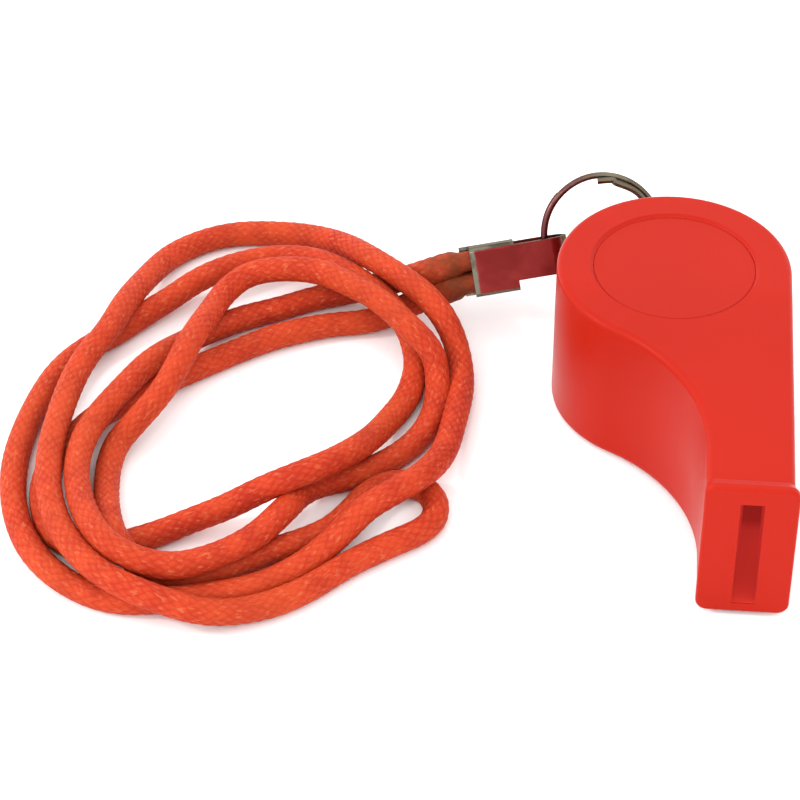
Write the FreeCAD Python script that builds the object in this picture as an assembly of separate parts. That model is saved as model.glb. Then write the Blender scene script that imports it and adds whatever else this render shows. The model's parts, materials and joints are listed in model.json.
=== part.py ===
import FreeCAD, Part
import math
import os

from FreeCAD import Placement, Rotation, Vector

# A pea whistle on a lanyard, lying on its side.
# The origin is on the chamber's axis, at the face that the whistle lies on.
# +Z is up, along the chamber's axis. The mouthpiece points along -Y and its blown edge, the back, faces +X.
# All sizes are in millimetres.

os.makedirs("parts", exist_ok=True)

# Whistle body
CHAMBER_R = 13.7          # outside radius of the round chamber
THICK = 19.6              # from one side face to the other
MOUTH_Y = -37.3           # end face of the mouthpiece
MOUTH_HIGH = 9.6          # mouthpiece, from its back to its belly
BELLY_R = 21.0            # hollow curve between the chamber and the mouthpiece
TAPER_FROM_Y = -4.0       # the sides close in from here to the end face
TAPER = 1.15              # on each side
EDGE_R = 0.75             # rounding along both side faces
WALL = 1.6
CHAMBER_IN_R = CHAMBER_R - WALL

# Lip around the end face
LIP = 0.6                 # how far it stands out
LIP_BELLY = 0.15          # the same, on the belly side
LIP_LONG = 2.4            # where the flare starts, from the end face
LIP_FLAT = 0.8            # straight part next to the end face
LIP_SINK = 0.15           # the flare starts this far under the surface
LIP_EDGE_R = 0.35

# Windway, window and blown edge
SLOT_LOW_Z = 1.9
SLOT_HIGH_Z = 16.8
SLOT_MOUTH_X = (7.8, 10.5)
SLOT_EXIT_X = (10.4, 12.0)
WINDOW_Y = (-10.0, -4.5)
BLADE_TIP_X = 11.7
BLADE_END_Y = 2.5

# Side cap, set into the upper side face
CAP_R = 9.5
CAP_RECESS = 0.3          # its face lies this far below the side face
CAP_RIM = 0.6             # thickness of the rim that lies on the ledge
CAP_LEDGE = 0.8           # width of the ledge
CAP_GAP = 0.05
CAP_EDGE_R = 0.15
CAP_BEVEL = 0.35          # slope from the side face down to the cap

# Lug for the ring, behind the chamber
LUG_TURN = 95.5           # degrees from +X
LUG_REACH = 16.95         # hole's centre, from the chamber's axis
LUG_HOLE_R = 2.3
LUG_WALL = 1.5
LUG_THICK = 2.0
LUG_MID_Z = 9.8

# Pea
PEA_R = 5.25
PEA_ORBIT_R = 6.4
PEA_TURN = 125.0          # degrees from +X, where it lies at rest
PEA_FLOAT = 0.05

# Split ring: two turns of round wire with one step between them
WIRE_R = 0.4
RING_R = 7.15             # to the middle of the wire
RING_PITCH = 0.84         # between the two turns
RING_MID = Vector(-8.6, 16.8, 10.6)
RING_HEADING = 4.9        # degrees, its level diameter from +X
RING_LEAN = 32.0          # degrees, its plane from upright
RING_END = 96.0           # degrees, where the front turn ends
RING_TURN = 318.0         # degrees of each plain turn
RING_STEP = 42.0          # degrees of the step
RING_CLOSING = 150.0      # degrees over which the front turn closes in towards its end
RING_INSET = 0.62         # how far it ends inside the other turn

# Cord clamp, one folded strip: a flat tube on the cord's two ends, and a tongue looped round the ring
SHEET = 0.45
CLAMP_AT = 189.5          # degrees round the ring, where the tongue's pivot is
CLAMP_THICK = 3.9
TUBE_L = (-10.6, -3.85)   # along the clamp, from the pivot
FLAP_L = -9.35            # its front starts here, short of its back
TUBE_W = (-5.05, 1.05)    # across the clamp, from the pivot
TONGUE_W = (-3.8, 0.7)
TONGUE_END_L = 2.7
TUBE_EDGE_R = 0.6

# Lanyard
CORD_D = 3.0
COIL_HIGH = 9.0
COIL_EDGE_R = 1.4
CRIMP_L = -4.2            # how far the cord's ends reach into the clamp
CRIMP_R = 0.5             # their rounded corners there
CRIMP_GAP = 0.1
# Outline of the loose coil on the floor, outer edge and open middle, as points in X, Y
COIL_OUTER = [
    (-52.5, 26.0), (-43.0, 25.0), (-33.5, 19.0), (-27.5, 11.5), (-23.6, 1.5),
    (-22.8, -9.5), (-25.4, -17.0), (-25.0, -26.5), (-29.0, -34.5), (-37.0, -41.0),
    (-49.0, -46.0), (-61.0, -44.5), (-70.5, -39.0), (-75.8, -30.0), (-77.0, -18.0),
    (-75.0, -6.0), (-70.0, 3.0), (-67.0, 12.0), (-62.0, 21.5),
]
COIL_INNER = [
    (-37.0, 3.5), (-44.0, 2.0), (-51.5, -1.5), (-58.0, -6.5), (-61.5, -14.0),
    (-62.5, -22.0), (-60.0, -29.0), (-53.5, -28.5), (-46.0, -23.5), (-39.0, -18.0),
    (-35.0, -10.0), (-33.0, -3.0),
]
# Where each end of the cord runs on into the coil, after leaving the clamp
LEAD_INTO_COIL = {
    "lanyard_lead_out": (-33.0, 11.5, 2.5),
    "lanyard_lead_back": (-34.0, 16.5, 3.0),
}

BELLY_X = CHAMBER_R - MOUTH_HIGH
IN_LIP_Y = MOUTH_Y + LIP_FLAT / 2    # the drawn-out outline ends inside the lip


def xyz(x, y, z=0.0):
    return Vector(x, y, z)


def prism(points, low, high):
    """A solid with the outline of the points in X, Y, from z = low to high."""
    corners = [xyz(x, y, low) for x, y in points]
    face = Part.Face(Part.makePolygon(corners + corners[:1]))
    return face.extrude(Vector(0, 0, high - low))


def box_between(x, y, z):
    return Part.makeBox(x[1] - x[0], y[1] - y[0], z[1] - z[0], xyz(x[0], y[0], z[0]))


def side_prism():
    """The whistle's side outline, drawn out over its whole thickness."""
    arc_x = BELLY_X - BELLY_R
    reach = CHAMBER_R + BELLY_R
    arc_y = -math.sqrt(reach ** 2 - arc_x ** 2)
    join = Vector(arc_x, arc_y, 0) * (CHAMBER_R / reach)
    half_turn = math.atan2(-arc_y, -arc_x) / 2
    belly_mid = xyz(arc_x + BELLY_R * math.cos(half_turn), arc_y + BELLY_R * math.sin(half_turn))
    slant = CHAMBER_R * math.sqrt(0.5)
    edges = [
        Part.Arc(join, xyz(-slant, slant), xyz(CHAMBER_R, 0)).toShape(),
        Part.LineSegment(xyz(CHAMBER_R, 0), xyz(CHAMBER_R, IN_LIP_Y)).toShape(),
        Part.LineSegment(xyz(CHAMBER_R, IN_LIP_Y), xyz(BELLY_X, IN_LIP_Y)).toShape(),
        Part.LineSegment(xyz(BELLY_X, IN_LIP_Y), xyz(BELLY_X, arc_y)).toShape(),
        Part.Arc(xyz(BELLY_X, arc_y), belly_mid, join).toShape(),
    ]
    return Part.Face(Part.Wire(edges)).extrude(Vector(0, 0, THICK))


def side_taper():
    """The space between the two side faces, which close in towards the end face."""
    far = 2 * CHAMBER_R
    slope = TAPER / (TAPER_FROM_Y - MOUTH_Y)
    over = 5.0
    profile = [
        (far, 0), (far, THICK), (TAPER_FROM_Y, THICK),
        (MOUTH_Y - over, THICK - TAPER - over * slope), (MOUTH_Y - over, TAPER + over * slope),
        (TAPER_FROM_Y, 0),
    ]
    corners = [Vector(-far, y, z) for y, z in profile]
    face = Part.Face(Part.makePolygon(corners + corners[:1]))
    return face.extrude(Vector(2 * far, 0, 0))


def side_edges(shape):
    """Edges between a side face and the rim around it."""
    found = []
    for edge in shape.Edges:
        faces = shape.ancestorsOfType(edge, Part.Face)
        tilts = sorted(abs(f.normalAt(*f.Surface.parameter(edge.CenterOfMass)).z) for f in faces)
        at_mouth = abs(edge.CenterOfMass.y - IN_LIP_Y) < 0.01
        if len(tilts) == 2 and tilts[0] < 0.5 < tilts[1] and not at_mouth:
            found.append(edge)
    return found


def rounded_frame(y, grow, radius):
    """A rounded rectangle around the mouthpiece, grown beyond its faces."""
    drop = TAPER * (TAPER_FROM_Y - y) / (TAPER_FROM_Y - MOUTH_Y)
    low_x, high_x = BELLY_X - min(grow, LIP_BELLY), CHAMBER_R + grow
    low_z, high_z = drop - grow, THICK - drop + grow
    solid = box_between((low_x, high_x), (y, y + 1), (low_z, high_z))
    long_edges = [e for e in solid.Edges if abs(e.tangentAt(e.FirstParameter).y) > 0.9]
    solid = solid.makeFillet(radius, long_edges)
    front = min(solid.Faces, key=lambda f: f.CenterOfMass.y)
    return front.OuterWire


def lip():
    """The flared lip around the mouthpiece's end."""
    grown = EDGE_R + LIP
    wires = [
        rounded_frame(MOUTH_Y + LIP_LONG, -LIP_SINK, EDGE_R),
        rounded_frame(MOUTH_Y + LIP_FLAT, LIP, grown),
        rounded_frame(MOUTH_Y, LIP, grown),
    ]
    solid = Part.makeLoft(wires, True, True)
    rim = [e for e in solid.Edges if abs(e.CenterOfMass.y - MOUTH_Y) < 0.01]
    return solid.makeFillet(LIP_EDGE_R, rim)


def lug():
    """The flat tab behind the chamber, with its hole."""
    turn = math.radians(LUG_TURN)
    middle = xyz(LUG_REACH * math.cos(turn), LUG_REACH * math.sin(turn), LUG_MID_Z - LUG_THICK / 2)
    radius = LUG_HOLE_R + LUG_WALL
    round_end = Part.makeCylinder(radius, LUG_THICK, middle)
    root = (CHAMBER_R + CHAMBER_IN_R) / 2
    neck = Part.makeBox(LUG_REACH - root, 2 * radius, LUG_THICK, Vector(root, -radius, middle.z))
    neck.rotate(Vector(), Vector(0, 0, 1), LUG_TURN)
    tab = round_end.fuse(neck).removeSplitter()
    rims = [e for e in tab.Edges if abs(abs(e.CenterOfMass.z - LUG_MID_Z) - LUG_THICK / 2) < 0.01
            and e.CenterOfMass.Length > CHAMBER_R + 1]
    tab = tab.makeFillet(0.4, rims)
    hole = Part.makeCylinder(LUG_HOLE_R, 2 * LUG_THICK, middle - Vector(0, 0, LUG_THICK / 2))
    return tab, hole


def whistle_body():
    """The moulded body: chamber, mouthpiece with its windway and window, and the lug."""
    outside = side_prism().common(side_taper())
    outside = outside.makeFillet(EDGE_R, side_edges(outside))
    tab, hole = lug()
    outside = outside.fuse([lip(), tab]).removeSplitter()
    ledge_z = THICK - CAP_RECESS - CAP_RIM
    chamber = Part.makeCylinder(CHAMBER_IN_R, THICK - 2 * WALL, xyz(0, 0, WALL))
    seat = Part.makeCylinder(CAP_R, THICK, xyz(0, 0, ledge_z))
    bevel = Part.makeCone(CAP_R, CAP_R + CAP_BEVEL, CAP_RECESS, xyz(0, 0, THICK - CAP_RECESS))
    mouth_of_seat = Part.makeCylinder(CAP_R - CAP_LEDGE, WALL, xyz(0, 0, ledge_z - WALL / 2))
    windway = prism(
        [
            (SLOT_MOUTH_X[0], MOUTH_Y - 1), (SLOT_MOUTH_X[1], MOUTH_Y - 1),
            (SLOT_EXIT_X[1], WINDOW_Y[0]), (SLOT_EXIT_X[1], WINDOW_Y[0] + 1),
            (SLOT_EXIT_X[0], WINDOW_Y[0] + 1), (SLOT_EXIT_X[0], WINDOW_Y[0]),
        ],
        SLOT_LOW_Z, SLOT_HIGH_Z,
    )
    window = box_between((0, CHAMBER_R + 1), WINDOW_Y, (SLOT_LOW_Z, SLOT_HIGH_Z))
    ramp = prism(
        [
            (BLADE_TIP_X, WINDOW_Y[1] - 0.1), (CHAMBER_R + 1, WINDOW_Y[1] - 0.1),
            (CHAMBER_R + 1, BLADE_END_Y), (CHAMBER_R, BLADE_END_Y),
        ],
        SLOT_LOW_Z, SLOT_HIGH_Z,
    )
    return outside.cut([chamber, seat, bevel, mouth_of_seat, windway, window, ramp, hole])


def side_cap():
    """The stepped disc that closes the chamber."""
    ledge_z = THICK - CAP_RECESS - CAP_RIM
    rim = Part.makeCylinder(CAP_R - CAP_GAP, CAP_RIM, xyz(0, 0, ledge_z))
    top = [e for e in rim.Edges if abs(e.CenterOfMass.z - ledge_z - CAP_RIM) < 0.01]
    rim = rim.makeFillet(CAP_EDGE_R, top)
    plug_z = THICK - WALL - CAP_GAP
    plug = Part.makeCylinder(CAP_R - CAP_LEDGE - CAP_GAP, ledge_z - plug_z, xyz(0, 0, plug_z))
    return rim.fuse(plug).removeSplitter()


def pea():
    turn = math.radians(PEA_TURN)
    middle = xyz(PEA_ORBIT_R * math.cos(turn), PEA_ORBIT_R * math.sin(turn), WALL + PEA_R + PEA_FLOAT)
    return Part.makeSphere(PEA_R, middle)


def ring_place():
    """Turns the ring from the XY plane, with its front along +Z, to where it hangs."""
    upright = Rotation(Vector(1, 0, 0), 90 - RING_LEAN)
    heading = Rotation(Vector(0, 0, 1), RING_HEADING)
    return Placement(RING_MID, heading.multiply(upright))


def wire_turn(start, sweep, level):
    """A plain stretch of the ring's wire, at one level of its two."""
    turn = math.radians(start)
    middle = Vector(RING_R * math.cos(turn), RING_R * math.sin(turn), level)
    along = Vector(-math.sin(turn), math.cos(turn), 0)
    section = Part.Face(Part.Wire(Part.makeCircle(WIRE_R, middle, along)))
    return section.revolve(Vector(), Vector(0, 0, 1), sweep)


def wire_bend(start, sweep, levels, insets, eased):
    """A stretch of wire that eases to another level and in from the full radius."""
    parts = 8
    points = []
    for i in range(parts + 1):
        share = min(1.0, i / parts / eased)
        share = share * share * (3 - 2 * share)
        turn = math.radians(start + sweep * i / parts)
        radius = RING_R - insets[0] - (insets[1] - insets[0]) * share
        level = levels[0] + (levels[1] - levels[0]) * share
        points.append(Vector(radius * math.cos(turn), radius * math.sin(turn), level))
    first, last = math.radians(start), math.radians(start + sweep)
    curve = Part.BSplineCurve()
    curve.interpolate(
        points,
        InitialTangent=Vector(-math.sin(first), math.cos(first), 0),
        FinalTangent=Vector(-math.sin(last), math.cos(last), 0),
    )
    section = Part.Wire(Part.makeCircle(WIRE_R, points[0], Vector(-math.sin(first), math.cos(first), 0)))
    return Part.Wire(curve.toShape()).makePipeShell([section], True, False)


def split_ring():
    low = -RING_PITCH / 2
    front_start = RING_END - RING_TURN
    step_start = front_start - RING_STEP
    pieces = [
        wire_turn(step_start - RING_TURN, RING_TURN, low),
        wire_bend(step_start, RING_STEP, (low, -low), (0, 0), 1.0),
        wire_turn(front_start, RING_TURN - RING_CLOSING, -low),
        wire_bend(RING_END - RING_CLOSING, RING_CLOSING, (-low, -low), (0, RING_INSET), 0.5),
    ]
    ring = pieces[0].fuse(pieces[1:])
    ring.Placement = ring_place().multiply(ring.Placement)
    return ring


def clamp_place():
    """Turns the clamp from its own axes (X along, Y across, Z out of its front) to the ring."""
    turn = math.radians(CLAMP_AT)
    pivot = Placement(
        Vector(RING_R * math.cos(turn), RING_R * math.sin(turn), 0),
        Rotation(Vector(0, 0, 1), CLAMP_AT - 180),
    )
    return ring_place().multiply(pivot)


def cord_clamp():
    """A flat tube of folded sheet with a narrower tongue that loops round the ring."""
    half = CLAMP_THICK / 2
    tube = box_between(TUBE_L, TUBE_W, (-half, half))
    tube = tube.makeFillet(TUBE_EDGE_R, [e for e in tube.Edges if abs(e.tangentAt(0).x) > 0.9])
    hollow = box_between(
        (TUBE_L[0] - 1, TUBE_L[1] + 1), (TUBE_W[0] + SHEET, TUBE_W[1] - SHEET), (SHEET - half, half - SHEET)
    )
    hollow = hollow.makeFillet(0.2, [e for e in hollow.Edges if abs(e.tangentAt(0).x) > 0.9])
    bend_l = TONGUE_END_L - half
    inside = half - SHEET
    wide = TONGUE_W[1] - TONGUE_W[0]
    root_l = TUBE_L[1] - SHEET

    def layer(radius, from_l):
        flat = box_between((from_l, bend_l), TONGUE_W, (-radius, radius))
        bend = Part.makeCylinder(radius, wide, xyz(bend_l, TONGUE_W[0], 0), Vector(0, 1, 0))
        return flat.fuse(bend).removeSplitter()

    tongue = layer(half, root_l).cut(layer(inside, root_l - 1))
    notch = box_between((TUBE_L[0] - 1, FLAP_L), (TUBE_W[0] - 1, TUBE_W[1] + 1), (-half / 2, half + 1))
    clamp = tube.cut([hollow, notch]).fuse(tongue).removeSplitter()
    clamp.Placement = clamp_place().multiply(clamp.Placement)
    return clamp


def outline(points):
    curve = Part.BSplineCurve()
    curve.interpolate([xyz(x, y) for x, y in points], PeriodicFlag=True)
    return Part.Face(Part.Wire(curve.toShape()))


def lanyard_coil():
    """The outer shape of the loosely coiled cord, with its open middle."""
    ring = outline(COIL_OUTER).extrude(Vector(0, 0, COIL_HIGH))
    ring = ring.makeFillet(COIL_EDGE_R, [e for e in ring.Edges if len(e.Vertexes) == 1])
    middle = outline(COIL_INNER).extrude(Vector(0, 0, COIL_HIGH))
    return ring.cut(middle)


def lanyard_leads(coil):
    """The cord's two ends: crimped flat side by side in the clamp, then round as far as the coil."""
    place = clamp_place()
    mid_w = (TUBE_W[0] + TUBE_W[1]) / 2
    half_w = (TUBE_W[1] - TUBE_W[0]) / 2 - SHEET
    half_t = CLAMP_THICK / 2 - SHEET - CRIMP_GAP
    leads = {}
    for (name, into), side in zip(LEAD_INTO_COIL.items(), (-1, 1)):
        across = sorted((mid_w, mid_w + side * half_w))
        crimped = box_between((TUBE_L[0], CRIMP_L), across, (-half_t, half_t))
        crimped = crimped.makeFillet(CRIMP_R, [e for e in crimped.Edges if abs(e.tangentAt(0).x) > 0.9])
        crimped.Placement = place.multiply(crimped.Placement)
        middle_w = mid_w + side * (CORD_D / 2 + CRIMP_GAP)
        leave = place.multVec(Vector(TUBE_L[0], middle_w, 0))
        run = Vector(*into) - leave
        tube = Part.makeCylinder(CORD_D / 2, run.Length, leave, run)
        lead = tube.cut(coil)
        lead = max(lead.Solids, key=lambda s: s.Volume)
        leads[name] = lead.fuse(crimped).removeSplitter()
    return leads


def main():
    place = clamp_place()
    print("clamp pivot", place.Base, "axis", place.Rotation.multVec(Vector(0, 1, 0)))
    coil = lanyard_coil()
    nodes = {
        "whistle_body": whistle_body(),
        "side_cap": side_cap(),
        "pea": pea(),
        "split_ring": split_ring(),
        "cord_clamp": cord_clamp(),
        "lanyard_coil": coil,
    }
    nodes.update(lanyard_leads(coil))
    for name, shape in nodes.items():
        print(name, "valid", shape.isValid(), "solids", len(shape.Solids), "volume", round(shape.Volume, 1))
        shape.exportStep("parts/" + name + ".step")


main()
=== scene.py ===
"""A training whistle lying on its side, with its cork pea, split ring, cord clamp and braided lanyard.

Everything is in metres in the part's own frame: Z up from the floor, -Y to the mouthpiece,
and the chamber's axis at X = 0, Y = 0.
"""
import json
import math

import bmesh
import bpy
import numpy as np
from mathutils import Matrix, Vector, noise


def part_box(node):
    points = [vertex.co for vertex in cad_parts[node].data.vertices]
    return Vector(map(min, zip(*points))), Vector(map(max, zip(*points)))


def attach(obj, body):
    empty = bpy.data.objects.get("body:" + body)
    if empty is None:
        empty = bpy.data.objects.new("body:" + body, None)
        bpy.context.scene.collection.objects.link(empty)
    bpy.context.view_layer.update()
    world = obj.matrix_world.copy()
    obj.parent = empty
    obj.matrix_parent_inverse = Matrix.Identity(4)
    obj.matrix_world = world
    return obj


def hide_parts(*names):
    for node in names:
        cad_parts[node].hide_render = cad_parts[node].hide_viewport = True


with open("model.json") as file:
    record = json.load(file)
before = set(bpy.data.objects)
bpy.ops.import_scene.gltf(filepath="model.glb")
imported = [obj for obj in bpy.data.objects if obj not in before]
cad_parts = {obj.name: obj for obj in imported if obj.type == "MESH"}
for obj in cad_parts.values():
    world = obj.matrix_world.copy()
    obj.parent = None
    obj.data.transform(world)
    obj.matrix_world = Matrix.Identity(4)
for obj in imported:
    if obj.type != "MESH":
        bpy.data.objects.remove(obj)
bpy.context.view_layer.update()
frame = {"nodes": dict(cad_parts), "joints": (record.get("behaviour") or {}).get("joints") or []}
NODES = frame["nodes"]
JOINTS = {joint["name"]: joint for joint in frame["joints"]}

MM = 0.001

# The camera: a long lens, aimed at the floor between the whistle and the coil
CAMERA_TARGET = (-0.03175, -0.00419, 0)
CAMERA_TURN = 4.89           # degrees round from the mouthpiece side
CAMERA_RISE = 41.15          # degrees above the floor
CAMERA_DISTANCE = 0.3613
CAMERA_LENS = 135
CAMERA_SENSOR = 36

# The studio
SKY_STRENGTH = 1.85
LAMP_AIM = (-0.02, 0, 0)
FLOOR_HALF = 3.0
FLOOR_Z = -0.1 * MM

# The whistle's plastic
RED = (0.36, 0.0115, 0.004)
CAP_SHADE = 0.99             # the cap is a little darker than the body
# Where the windway is painted lighter and made to glow, painted light standing in for light through its
# walls: axis, where it begins and where it is full, in mm
WINDWAY_PAINTED_GLOW_SIDES = (
    (0, 7.5, 7.7), (0, 12.2, 12.0), (1, -37.24, -37.1), (1, -8, -22), (2, 1.6, 1.8), (2, 17.1, 16.9),
)
WINDWAY_PAINTED_GLOW = (-37, -27, 0.2, 0.27)       # from y to y in mm, and the painted glow's strength at each
WINDWAY_PAINTED_GLOW_FADE = (-25.5, -23.5, 1.0, 0.6)    # deeper in, the share of that painted glow which is left
SEAM_PAINTED_GLOW_SIDES = ((9.4, 9.46), (9.56, 9.5))    # the gap round the cap, painted with a faint glow that lifts its shade: in mm from the chamber's axis
SEAM_PAINTED_GLOW_TOP = (18.2, 18.4)                    # the height in mm where that painted glow begins
SEAM_PAINTED_GLOW = 0.22

# The pea
PIT_FROM = 0.28              # noise above this is a pit
PIT_DEPTH = 0.22

# The lanyard: one braided cord, both ends crimped in the clamp
CORD_D = 3.0 * MM
CARRIERS = 10                # strands each way round the braid
CELL = 1.4 * MM              # one lozenge of the braid along the cord
SIDES = 40                   # points round the cord
RING_STEP = 0.36 * MM        # from one ring of points to the next
GROOVE = 0.09 * MM           # how deep the braid's grooves are
CROWN_OUT = 0.07 * MM        # how far its crowns stand out past the nominal radius
LUMPS = 0.03                 # share of the radius by which the cord is uneven
SWELL = 0.13                 # how much thicker the cord is where it bulges out of the clamp
SWELL_ENDS = (9 * MM, 16 * MM)         # that bulge is full up to the first, gone by the second
SQUEEZE = (-12 * MM, -10.2 * MM)       # along the clamp, where the crimp begins and where it is full
SQUEEZE_ACROSS = 0.74                  # the share of the cord's width left in the crimp
SQUEEZE_FRONT = 0.85                   # the share of its thickness left
DIRT_CELLS = (5.5, 9.0)      # cells from an end, where the dirt begins to fade and where it is gone

# The cord's course in millimetres, from the clamp's lower hole round to its upper one
ROUTE = (
    # out of the clamp, down to the floor, and round the left end
    (-19.2, 13.1, 6.2), (-22.2, 12.6, 5.8), (-25.2, 12.1, 5.3), (-27.5, 11.8, 4.4), (-30.5, 11.5, 3.1),
    (-34, 9.5, 1.9), (-37, 8.3, 1.5), (-41, 7.5, 1.5), (-44.5, 6.2, 1.5), (-48.5, 4.2, 1.5),
    (-52.5, 1.2, 1.5), (-56, -1.6, 1.5), (-60, -4.8, 1.5), (-63.5, -8.2, 1.5), (-67, -11.5, 1.5),
    (-69.5, -16, 1.5), (-71.5, -21, 1.5), (-71.5, -26, 1.5), (-70, -31, 1.5), (-67.5, -34, 1.5),
    (-63.5, -34.5, 1.5), (-60, -33, 1.5),
    # back up to the right and over to the far side
    (-56.5, -31, 1.6), (-54, -29.5, 1.9), (-49.5, -28, 3.2), (-45.5, -27, 5.4), (-41.5, -25.5, 6.6),
    (-37.6, -22, 5.9), (-34.5, -17, 4.4), (-32.6, -10.5, 2), (-30.8, -6, 1.6), (-30.1, -1.5, 1.6),
    (-30.2, 1.5, 2.4), (-31.5, 4.5, 4.4), (-34.5, 8.5, 5), (-37.5, 12, 4.8), (-41.5, 15, 4.6),
    (-45.5, 17.5, 3.8), (-50, 18, 3.2), (-54.5, 16, 3.2), (-58.5, 13, 3), (-61.5, 10, 2.2),
    (-64.5, 7, 1.8), (-67.5, 3.5, 1.5),
    # the outermost turn down the left side
    (-70.5, 0.5, 1.5), (-73, -3.5, 1.5), (-74.5, -9, 1.5), (-75.5, -15.5, 1.5), (-75.5, -22.5, 1.5),
    (-74, -29.5, 1.5), (-71, -35.5, 1.5), (-66.5, -40, 1.5), (-61, -42.5, 1.5),
    # across the near side, up the right side and over both ends of the cord
    (-55, -42, 1.5), (-51, -41, 1.5), (-45.5, -39.5, 1.6), (-41, -36.5, 1.9), (-38, -33.5, 2.6),
    (-35.5, -30.5, 3.6), (-33.5, -28, 4.5), (-30.4, -25.3, 4.8), (-27.4, -22.3, 4.7), (-25.4, -16.5, 3),
    (-24.7, -9.5, 2.5), (-24.3, -3, 1.7), (-25, 1.5, 2.8), (-26.5, 4, 5.4), (-29, 7, 6.8),
    (-32.5, 10, 7.4), (-36.5, 14, 6.9), (-41, 20, 4.4), (-45.5, 24, 2.2), (-51, 25, 1.5),
    (-55.5, 24.5, 1.5), (-59.5, 22.5, 1.5), (-63, 19, 1.6), (-65, 13, 2.8), (-66.5, 6, 4.5),
    (-67.5, 0, 5.1), (-69.5, -5, 4.9),
    # down the left side on top of the first turn
    (-70.5, -9.5, 4.6), (-71, -15.5, 4.5), (-71, -22.5, 4.6), (-70, -28.5, 4.6), (-68, -34, 4.6),
    (-64.5, -39, 4.7), (-60.5, -42.5, 4.8),
    # the nearest run, and the bight at its right end
    (-55, -44.5, 4.2), (-49.5, -44.5, 2.4), (-44, -42.3, 1.6), (-39.5, -39.2, 1.5), (-35, -34.3, 1.5),
    (-31.2, -31.2, 1.5), (-26.3, -27.7, 1.5), (-25.6, -24, 1.5), (-27.5, -20.9, 1.5), (-31.2, -20.3, 1.5),
    (-34.1, -22.6, 1.5), (-35.7, -26, 1.5), (-37.6, -29, 1.5), (-40, -30.9, 1.5), (-42.6, -32.3, 1.5),
    (-45.5, -34, 1.5), (-49, -36.5, 1.5), (-53, -38, 1.5), (-57, -38, 1.8), (-59.5, -37, 3.2),
    # the innermost turn, across the middle of the left side and over to the right
    (-61.5, -35, 4.5), (-63, -30.5, 3.8), (-64, -25, 2.2), (-64.5, -20.5, 1.7), (-64, -17, 2.2),
    (-62, -15, 3.8), (-60, -12, 4.8), (-58.5, -9, 5.8), (-57.5, -5, 6.6), (-56.5, 0, 6.2),
    (-55.5, 5, 5), (-54.5, 9, 4.6), (-52, 11.5, 5.6), (-47.5, 12.5, 6), (-43, 12, 6.2), (-39, 9, 6.8),
    (-35.5, 6, 7.4), (-31.5, 2, 6.9), (-28.1, -0.5, 5), (-27.3, -2.5, 2.8), (-27.1, -6.7, 1.5),
    (-28.2, -11.6, 1.5), (-31, -16, 1.5), (-35.8, -20, 1.6),
    # the last turn, on top of the others at the near left, and back into the clamp
    (-41, -23, 2.3), (-43, -29.5, 4.3), (-45.5, -34, 4.5), (-49.5, -37.5, 4.5), (-54, -40, 4.8),
    (-58.5, -40, 5.8), (-62.5, -37.5, 6.3), (-65.5, -32, 5.6), (-67.5, -25, 4.6), (-67.5, -19, 4.6),
    (-66, -14.5, 4.8), (-64, -9.5, 4.6), (-61.5, -3.5, 4), (-57.5, 2.5, 2.4), (-53, 7.3, 1.6),
    (-48, 9.9, 1.5), (-43.5, 12.6, 1.5), (-39, 13.8, 1.8), (-33.5, 14, 3.8), (-30, 12.5, 6.3),
    (-25.8, 13.4, 7.6), (-22.8, 13.9, 8), (-19.7, 14.5, 8.4),
)

# The clamp's own axes, from the point where it turns on the ring: across it, along it to the ring,
# and out of its front
CLAMP_PIVOT = np.array(JOINTS["clamp_swing"]["pos_m"])
CLAMP_ACROSS = np.array(JOINTS["clamp_swing"]["axis"])
CLAMP_ALONG = np.array((0.975, 0.171, 0.140))
CLAMP_FRONT = np.cross(CLAMP_ALONG, CLAMP_ACROSS)


def smooth_line(points):
    """Points along the NURBS spline that has these control points."""
    curve = bpy.data.curves.new("route", "CURVE")
    curve.dimensions = "3D"
    curve.resolution_u = 12
    spline = curve.splines.new("NURBS")
    spline.points.add(len(points) - 1)
    for knot, point in zip(spline.points, points):
        knot.co = (*point, 1.0)
    spline.order_u = 3
    spline.use_endpoint_u = True
    holder = bpy.data.objects.new("route", curve)
    bpy.context.scene.collection.objects.link(holder)
    bpy.context.view_layer.update()
    mesh = bpy.data.meshes.new_from_object(holder)
    line = np.array([v.co for v in mesh.vertices])
    bpy.data.objects.remove(holder)
    bpy.data.curves.remove(curve)
    bpy.data.meshes.remove(mesh)
    return line


def evenly(line, step):
    """The same line with its points about one step apart, and each point's distance along it."""
    along = np.r_[0, np.cumsum(np.linalg.norm(np.diff(line, axis=0), axis=1))]
    at = np.linspace(0, along[-1], int(along[-1] / step) + 1)
    return np.stack([np.interp(at, along, line[:, k]) for k in range(3)], 1), at


def carried_frames(line):
    """Two unit vectors across the line at each point, turned along it without twist."""
    tangent = np.gradient(line, axis=0)
    tangent /= np.linalg.norm(tangent, axis=1)[:, None]
    side = np.cross(tangent[0], (0, 0, 1))
    sides = []
    for direction in tangent:
        side = side - direction * (side @ direction)
        side = side / np.linalg.norm(side)
        sides.append(side)
    sides = np.array(sides)
    return sides, np.cross(tangent, sides)


def braid_height(around, along):
    """0 in the grooves to 1 on the crowns of a plain braid. around is in turns, along in cells."""
    left, right = CARRIERS * around + along, CARRIERS * around - along
    over = (np.floor(left) + np.floor(right)) % 2
    crown_left = 1 - (2 * (left % 1) - 1) ** 2
    crown_right = 1 - (2 * (right % 1) - 1) ** 2
    crown = np.where(over > 0, crown_left, crown_right)
    dip = np.where(over > 0, crown_right, crown_left)
    return crown * (0.5 + 0.5 * dip)


def smoothstep(low, high, value):
    """0 at low to 1 at high, with no corner at either."""
    t = np.clip((value - low) / (high - low), 0, 1)
    return t * t * (3 - 2 * t)


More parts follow.
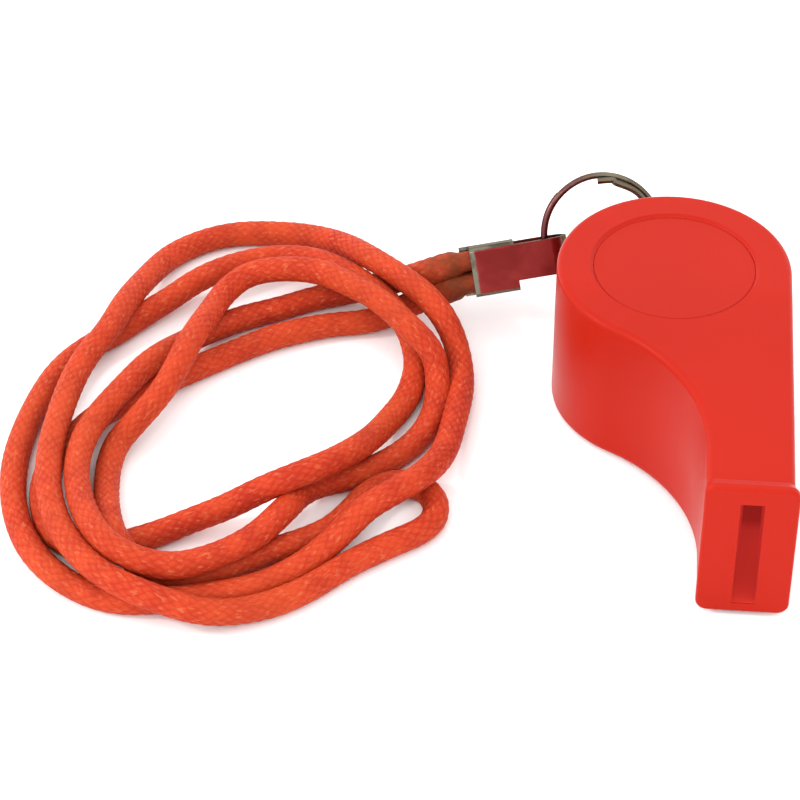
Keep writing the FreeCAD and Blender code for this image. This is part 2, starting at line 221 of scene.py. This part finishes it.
def braided_cord():
    """The cord, with the braid in its mesh, and how many of the braid's cells long it is."""
    line, along = evenly(smooth_line([[MM * x for x in point] for point in ROUTE]), RING_STEP)
    print("cord length", round(float(along[-1]), 4), "rings", len(line))
    side, up = carried_frames(line)
    around = np.arange(SIDES) / SIDES
    turns = around[None, :] + 0 * along[:, None]
    cells = along[:, None] / CELL + 0 * around[None, :]
    lumps = np.sin(cells * 0.61 + 1.3) * 0.5 + np.sin(cells * 0.23 + np.sin(cells * 0.11) * 2) * 0.5
    radius = CORD_D / 2 * (1 + LUMPS * lumps) - GROOVE * (1 - braid_height(turns, cells)) + CROWN_OUT
    from_end = np.minimum(along, along[-1] - along)
    radius *= 1 + SWELL * (1 - smoothstep(*SWELL_ENDS, from_end))[:, None]
    angle = 2 * math.pi * turns
    out = side[:, None, :] * np.cos(angle)[..., None] + up[:, None, :] * np.sin(angle)[..., None]
    offset = out * radius[..., None]
    # squeezed flat where the clamp holds both ends side by side
    inside = smoothstep(*SQUEEZE, (line - CLAMP_PIVOT) @ CLAMP_ALONG)
    for axis, keep in ((CLAMP_ACROSS, SQUEEZE_ACROSS), (CLAMP_FRONT, SQUEEZE_FRONT)):
        part = offset @ axis
        offset -= (part * (1 - keep) * inside[:, None])[..., None] * axis
    points = line[:, None, :] + offset
    points[..., 2] = np.maximum(points[..., 2], 0)
    rings = len(line)
    ends = np.array([line[0], line[-1]])
    verts = np.vstack([points.reshape(-1, 3), ends])
    ring, step = np.meshgrid(np.arange(rings - 1), np.arange(SIDES), indexing="ij")
    a = ring * SIDES + step
    b = ring * SIDES + (step + 1) % SIDES
    quads = np.stack([a, b, b + SIDES, a + SIDES], -1).reshape(-1, 4)
    k = np.arange(SIDES)
    first = np.stack([(k + 1) % SIDES, k, np.full(SIDES, rings * SIDES)], 1)
    last = (rings - 1) * SIDES + np.stack([k, (k + 1) % SIDES, np.full(SIDES, SIDES + 1)], 1)
    mesh = bpy.data.meshes.new("lanyard_cord")
    mesh.from_pydata(verts.tolist(), [], quads.tolist() + first.tolist() + last.tolist())
    layer = mesh.uv_layers.new(name="braid")
    u = np.stack([step, step + 1, step + 1, step], -1).reshape(-1) / SIDES
    v = np.stack([ring, ring, ring + 1, ring + 1], -1).reshape(-1) * (along[1] / CELL)
    caps = np.zeros((2 * SIDES * 3, 2))
    caps[SIDES * 3:, 1] = along[-1] / CELL
    layer.data.foreach_set("uv", np.vstack([np.stack([u, v], 1), caps]).astype(np.float32).ravel())
    mesh.polygons.foreach_set("use_smooth", [True] * len(mesh.polygons))
    mesh.update()
    cord = bpy.data.objects.new("lanyard_cord", mesh)
    bpy.context.scene.collection.objects.link(cord)
    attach(cord, "lanyard")
    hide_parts("lanyard_coil", "lanyard_lead_out", "lanyard_lead_back")
    return cord, float(along[-1] / CELL)


def cork_pea():
    """A turned cork ball with pits, as large as the CAD one where it is not pitted."""
    low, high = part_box("pea")
    centre, radius = (low + high) / 2, (high - low).length / 2 / math.sqrt(3)
    shape = bmesh.new()
    bmesh.ops.create_icosphere(shape, subdivisions=6, radius=1)
    for vert in shape.verts:
        direction = vert.co.normalized()
        grain = noise.noise(direction * 5) * 0.5 + noise.noise(direction * 12) * 0.3
        pit = max(0.0, noise.noise(direction * 8 + Vector((4, 1, 7))) - PIT_FROM) * PIT_DEPTH
        facet = abs(noise.noise(direction * 2.3)) * 0.01
        vert.co = centre + direction * radius * (0.995 - facet - 0.008 * abs(grain) - pit)
    mesh = bpy.data.meshes.new("cork_pea")
    shape.to_mesh(mesh)
    shape.free()
    mesh.polygons.foreach_set("use_smooth", [True] * len(mesh.polygons))
    ball = bpy.data.objects.new("cork_pea", mesh)
    bpy.context.scene.collection.objects.link(ball)
    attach(ball, "pea")
    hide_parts("pea")
    return ball


class Look:
    """A material with a Principled shader, built up node by node."""

    def __init__(self, name, **fixed):
        self.material = bpy.data.materials.new(name)
        self.material.use_nodes = True
        self.tree = self.material.node_tree
        self.tree.nodes.clear()
        self.shader = self.node("ShaderNodeBsdfPrincipled")
        output = self.node("ShaderNodeOutputMaterial")
        self.tree.links.new(self.shader.outputs[0], output.inputs["Surface"])
        for socket, value in fixed.items():
            self.shader.inputs[socket.replace("_", " ")].default_value = value

    def node(self, kind, *values, **settings):
        made = self.tree.nodes.new(kind)
        for key, value in settings.items():
            setattr(made, key, value)
        for socket, value in enumerate(values):
            self.feed(made.inputs[socket], value)
        return made

    def feed(self, socket, value):
        if isinstance(value, bpy.types.NodeSocket):
            self.tree.links.new(value, socket)
        elif value is not None:
            socket.default_value = value

    def math(self, operation, *values):
        return self.node("ShaderNodeMath", *values, operation=operation).outputs[0]

    def dot(self, vector, axis):
        made = self.node("ShaderNodeVectorMath", vector, tuple(axis), operation="DOT_PRODUCT")
        return made.outputs["Value"]

    def place(self):
        return self.node("ShaderNodeTexCoord").outputs["Object"]

    def noise(self, scale, detail=2.0, vector=None):
        made = self.node("ShaderNodeTexNoise")
        self.feed(made.inputs["Vector"], self.place() if vector is None else vector)
        made.inputs["Scale"].default_value = scale
        made.inputs["Detail"].default_value = detail
        return made.outputs[0]

    def stretched(self, x, y, z):
        """The object's own coordinates, scaled by axis."""
        return self.node("ShaderNodeVectorMath", self.place(), (x, y, z), operation="MULTIPLY").outputs[0]

    def ramp(self, value, low, high, to_low=0.0, to_high=1.0):
        made = self.node("ShaderNodeMapRange", value, low, high, to_low, to_high)
        made.interpolation_type = "SMOOTHSTEP"
        return made.outputs[0]

    def mix(self, share, first, second):
        made = self.node("ShaderNodeMix", data_type="RGBA")
        for name, value in (("Factor_Float", share), ("A_Color", first), ("B_Color", second)):
            socket = next(s for s in made.inputs if s.identifier == name)
            self.feed(socket, (*value, 1.0) if isinstance(value, tuple) and len(value) == 3 else value)
        return next(s for s in made.outputs if s.identifier == "Result_Color")

    def bump(self, height, distance, strength=1.0, under=None):
        made = self.node("ShaderNodeBump")
        made.inputs["Strength"].default_value = strength
        made.inputs["Distance"].default_value = distance
        self.feed(made.inputs["Height"], height)
        self.feed(made.inputs["Normal"], under)
        return made.outputs[0]

    def colour(self, value):
        self.feed(self.shader.inputs["Base Color"], value)

    def rough(self, value):
        self.feed(self.shader.inputs["Roughness"], value)

    def relief(self, value):
        self.feed(self.shader.inputs["Normal"], value)


def moulded_plastic(name, tone):
    """Satin red moulding with faint flow marks and sharp edges lighter in colour.

    Its windway is painted lighter and made to glow, and the gap round the cap glows a little: painted light,
    with no lamp there.
    """
    look = Look(name, IOR=1.17)
    flow = look.noise(90, 3)
    cloud = look.noise(35, 2)
    body = look.mix(look.ramp(cloud, 0.3, 0.7), tuple(0.95 * c for c in tone), tuple(1.04 * c for c in tone))
    # lighter in colour on sharp edges, found by pointiness
    edge = look.ramp(look.node("ShaderNodeNewGeometry").outputs["Pointiness"], 0.52, 0.62)
    body = look.mix(look.math("MULTIPLY", edge, 0.3), body, tuple(1.15 * c for c in tone))
    split = look.node("ShaderNodeSeparateXYZ", look.place())
    inside = None
    for axis, low, high in WINDWAY_PAINTED_GLOW_SIDES:
        share = look.ramp(split.outputs[axis], low * MM, high * MM)
        inside = share if inside is None else look.math("MULTIPLY", inside, share)
    squares = [look.math("MULTIPLY", split.outputs[axis], split.outputs[axis]) for axis in (0, 1)]
    radius = look.math("SQRT", look.math("ADD", *squares))
    seam_painted_glow = look.ramp(split.outputs[2], SEAM_PAINTED_GLOW_TOP[0] * MM, SEAM_PAINTED_GLOW_TOP[1] * MM)
    for low, high in SEAM_PAINTED_GLOW_SIDES:
        seam_painted_glow = look.math("MULTIPLY", seam_painted_glow, look.ramp(radius, low * MM, high * MM))
    # painted light: a lighter colour inside the windway, and an emission glow there and in the gap round the
    # cap
    look.colour(look.mix(inside, body, (0.42, 0.03, 0.018)))
    painted_glow = inside
    for start, end, at_start, at_end in (WINDWAY_PAINTED_GLOW, WINDWAY_PAINTED_GLOW_FADE):
        share = look.ramp(split.outputs[1], start * MM, end * MM, at_start, at_end)
        painted_glow = look.math("MULTIPLY", painted_glow, share)
    painted_glow = look.math("ADD", painted_glow, look.math("MULTIPLY", seam_painted_glow, SEAM_PAINTED_GLOW))
    painted_glow_colour = look.mix(cloud, (0.9, 0.06, 0.05), (1.0, 0.07, 0.06))
    look.feed(look.shader.inputs["Emission Color"], painted_glow_colour)
    look.feed(look.shader.inputs["Emission Strength"], painted_glow)
    look.rough(look.ramp(flow, 0.3, 0.7, 0.3, 0.38))
    look.relief(look.bump(look.noise(2600, 2), 0.01 * MM, 0.2))
    return look.material


def cork():
    """Pressed cork, darker in its pits."""
    look = Look("cork", IOR=1.4, Sheen_Weight=0.1)
    grain = look.noise(900, 6)
    pits = look.ramp(look.noise(520, 3), 0.56, 0.64)
    body = look.mix(look.ramp(grain, 0.35, 0.65), (0.3, 0.16, 0.075), (0.5, 0.33, 0.18))
    look.colour(look.mix(pits, body, (0.13, 0.055, 0.022)))
    look.rough(look.ramp(grain, 0.3, 0.7, 0.75, 0.9))
    look.relief(look.bump(grain, 0.08 * MM, 0.7))
    return look.material


def nickel_wire():
    """Drawn wire, nickel plated and dulled, olive with random worn patches, and red-brown towards its -X
    side.
    """
    look = Look("nickel_wire", Metallic=1.0, Specular_Tint=(0.35, 0.3, 0.26, 1.0))
    drawn = look.noise(1, 3, look.stretched(900, 900, 5200))
    worn = look.ramp(look.noise(230, 3), 0.34, 0.56)
    across = look.node("ShaderNodeSeparateXYZ", look.place()).outputs[0]
    olive = look.mix(worn, (0.16, 0.138, 0.1), (0.1, 0.084, 0.06))
    brown = look.mix(worn, (0.13, 0.066, 0.056), (0.1, 0.034, 0.034))
    # red-brown towards -X, set by position alone
    look.colour(look.mix(look.ramp(across, -9 * MM, -13.5 * MM), olive, brown))
    look.rough(look.ramp(drawn, 0.3, 0.7, 0.24, 0.42))
    look.relief(look.bump(drawn, 0.012 * MM, 0.5))
    return look.material


def plated_clamp():
    """Plated sheet steel, dark red on its front face, with bare metal at ragged rims."""
    look = Look("plated_clamp", Metallic=1.0, Specular_Tint=(0.3, 0.28, 0.24, 1.0))
    coords = look.node("ShaderNodeTexCoord")
    from_pivot = look.node(
        "ShaderNodeVectorMath", coords.outputs["Object"], tuple(CLAMP_PIVOT), operation="SUBTRACT"
    ).outputs[0]
    along = look.dot(from_pivot, CLAMP_ALONG)
    across = look.dot(from_pivot, CLAMP_ACROSS)
    facing = look.dot(coords.outputs["Normal"], CLAMP_FRONT)
    ragged = look.math("MULTIPLY", look.math("SUBTRACT", look.noise(1400, 3), 0.5), 0.25 * MM)
    # dark red only on faces turned to the front, stopping at ragged edges short of the rims
    shares = [look.ramp(facing, 0.6, 0.95)]
    for value, low, high in (
        (look.math("ADD", along, ragged), -8.95 * MM, -8.6 * MM),
        (look.math("ADD", across, ragged), -4.85 * MM, -4.55 * MM),
        (look.math("SUBTRACT", 0.0, look.math("ADD", across, ragged)), -0.85 * MM, -0.55 * MM),
    ):
        shares.append(look.ramp(value, low, high))
    red = shares[0]
    for share in shares[1:]:
        red = look.math("MULTIPLY", red, share)
    stain = look.ramp(look.noise(420, 4), 0.4, 0.65)
    bare = look.mix(stain, (0.15, 0.138, 0.105), (0.07, 0.062, 0.046))
    front_red = look.mix(look.ramp(look.noise(260, 2), 0.35, 0.65), (0.145, 0.015, 0.014), (0.2, 0.024, 0.022))
    look.colour(look.mix(red, bare, front_red))
    brushed = look.noise(1, 3, look.stretched(500, 4200, 4200))
    look.rough(look.math("ADD", look.ramp(brushed, 0.3, 0.7, 0.2, 0.34), look.math("MULTIPLY", red, 0.08)))
    look.relief(look.bump(brushed, 0.01 * MM, 0.4))
    return look.material


def braided_polypropylene(cells):
    """The braid's lozenges in colour and relief, with their fibres, painted shade in the grooves, pale
    flecks painted as glints on the yarn, and dirt near the clamp.
    """
    look = Look("braided_cord", IOR=1.46, Specular_IOR_Level=0.12)
    uv = look.node("ShaderNodeUVMap", uv_map="braid").outputs[0]
    split = look.node("ShaderNodeSeparateXYZ", uv)
    turns = look.math("MULTIPLY", split.outputs[0], float(CARRIERS))
    left = look.math("ADD", turns, split.outputs[1])
    right = look.math("SUBTRACT", turns, split.outputs[1])
    floor_left, floor_right = look.math("FLOOR", left), look.math("FLOOR", right)
    over = look.math("PINGPONG", look.math("ADD", floor_left, floor_right), 1.0)
    under = look.math("SUBTRACT", 1.0, over)

    def crown(value):
        centred = look.math("MULTIPLY_ADD", look.math("FRACT", value), 2.0, -1.0)
        return look.math("SUBTRACT", 1.0, look.math("MULTIPLY", centred, centred))

    def chosen(when_over, when_under):
        return look.math(
            "ADD", look.math("MULTIPLY", over, when_over), look.math("MULTIPLY", under, when_under)
        )

    crown_left, crown_right = crown(left), crown(right)
    top = chosen(crown_left, crown_right)
    dip = chosen(crown_right, crown_left)
    height = look.math("MULTIPLY", top, look.math("MULTIPLY_ADD", dip, 0.5, 0.5))
    fibre = look.math("SINE", look.math("MULTIPLY", chosen(left, right), 2 * math.pi * 6))
    fibre = look.math("MULTIPLY_ADD", fibre, 0.5, 0.5)
    cell = look.node("ShaderNodeCombineXYZ", floor_left, floor_right, 0.0).outputs[0]
    tint = look.node("ShaderNodeTexWhiteNoise", cell, noise_dimensions="3D").outputs["Value"]
    mottle = look.noise(330, 4)
    # painted shade: the grooves between the crowns are darker in colour, mixed with random mottling
    painted_groove_shade_and_mottle = look.math("ADD", look.math("MULTIPLY", height, 0.22), look.math("MULTIPLY", mottle, 0.9))
    body = look.mix(look.ramp(painted_groove_shade_and_mottle, 0.35, 0.75), (0.35, 0.022, 0.008), (0.47, 0.042, 0.012))
    # painted highlights: pale dashes along the yarn stand in for glints on the braid, dimmer or brighter at
    # random from cell to cell
    yarn_across, yarn_along = look.math("MULTIPLY", turns, 1.6), look.math("MULTIPLY", split.outputs[1], 0.8)
    yarn = look.node("ShaderNodeCombineXYZ", yarn_across, yarn_along, 0.0).outputs[0]
    painted_glint = look.ramp(look.noise(1.7, 3, yarn), 0.54, 0.66)
    painted_glint_fleck = look.math("MULTIPLY", painted_glint, look.ramp(tint, 0.1, 0.9, 0.35, 1.0))
    body = look.mix(look.math("MULTIPLY", painted_glint_fleck, 0.55), body, (0.56, 0.14, 0.06))
    body = look.mix(look.math("MULTIPLY", fibre, 0.08), body, (0.24, 0.016, 0.006))
    body = look.mix(look.ramp(look.noise(60, 3), 0.35, 0.7, 0.0, 0.25), body, (0.42, 0.07, 0.016))
    from_end = look.math("MINIMUM", split.outputs[1], look.math("SUBTRACT", cells, split.outputs[1]))
    near_clamp = look.ramp(from_end, *DIRT_CELLS, 1.0, 0.0)
    dirt = look.math("MULTIPLY", near_clamp, look.ramp(look.noise(420, 3), 0.25, 0.6, 0.45, 0.95))
    body = look.mix(dirt, body, (0.12, 0.028, 0.009))
    look.colour(body)
    look.rough(look.ramp(height, 0.0, 1.0, 0.75, 0.5))
    fine = look.bump(fibre, 0.03 * MM, 0.6)
    look.relief(look.bump(height, 0.05 * MM, 0.4, fine))
    return look.material


def pale_floor():
    mesh = bpy.data.meshes.new("floor")
    half = FLOOR_HALF
    corners = [(-half, -half), (half, -half), (half, half), (-half, half)]
    mesh.from_pydata([(x, y, FLOOR_Z) for x, y in corners], [], [(0, 1, 2, 3)])
    floor = bpy.data.objects.new("floor", mesh)
    bpy.context.scene.collection.objects.link(floor)
    look = Look("paper", Roughness=0.9)
    look.colour(look.mix(look.noise(20, 2), (0.93, 0.93, 0.93), (0.95, 0.95, 0.95)))
    mesh.materials.append(look.material)


def soft_box(name, at, size, power):
    """A rectangular lamp, aimed at the middle of the object."""
    data = bpy.data.lights.new(name, "AREA")
    data.shape = "RECTANGLE"
    data.size, data.size_y = size
    data.energy = power
    lamp = bpy.data.objects.new(name, data)
    bpy.context.scene.collection.objects.link(lamp)
    lamp.location = at
    lamp.rotation_euler = (Vector(LAMP_AIM) - Vector(at)).to_track_quat("-Z", "Y").to_euler()


def studio():
    """Even white light from all round, and two small lamps for the highlights."""
    scene = bpy.context.scene
    scene.view_settings.view_transform = "Standard"
    world = bpy.data.worlds.new("studio")
    scene.world = world
    world.use_nodes = True
    sky = world.node_tree.nodes["Background"]
    sky.inputs["Color"].default_value = (1, 1, 1, 1)
    sky.inputs["Strength"].default_value = SKY_STRENGTH
    soft_box("left", (-0.66, -0.18, 0.46), (0.07, 0.07), 2.2)
    soft_box("front", (-0.08, -0.5, 0.58), (0.1, 0.05), 0.5)


def camera():
    """A long lens looking down across the whistle from the mouthpiece side."""
    turn, rise = math.radians(CAMERA_TURN), math.radians(CAMERA_RISE)
    back = Vector((math.sin(turn) * math.cos(rise), -math.cos(turn) * math.cos(rise), math.sin(rise)))
    data = bpy.data.cameras.new("camera")
    data.lens = CAMERA_LENS
    data.sensor_width = CAMERA_SENSOR
    data.clip_start = 0.01
    eye = bpy.data.objects.new("camera", data)
    bpy.context.scene.collection.objects.link(eye)
    eye.location = Vector(CAMERA_TARGET) + back * CAMERA_DISTANCE
    eye.rotation_euler = (-back).to_track_quat("-Z", "Y").to_euler()
    bpy.context.scene.camera = eye


def wear(node, look):
    """The CAD node keeps its shape and gets this material."""
    if not node.material_slots:
        node.data.materials.append(look)
    for held in node.material_slots:
        held.material = look


camera()
studio()
pale_floor()
wear(NODES["whistle_body"], moulded_plastic("moulded_plastic", RED))
wear(NODES["side_cap"], moulded_plastic("cap_plastic", tuple(CAP_SHADE * c for c in RED)))
wear(NODES["split_ring"], nickel_wire())
wear(NODES["cord_clamp"], plated_clamp())
ball = cork_pea()
ball.data.materials.append(cork())
cord, cord_cells = braided_cord()
cord.data.materials.append(braided_polypropylene(cord_cells))
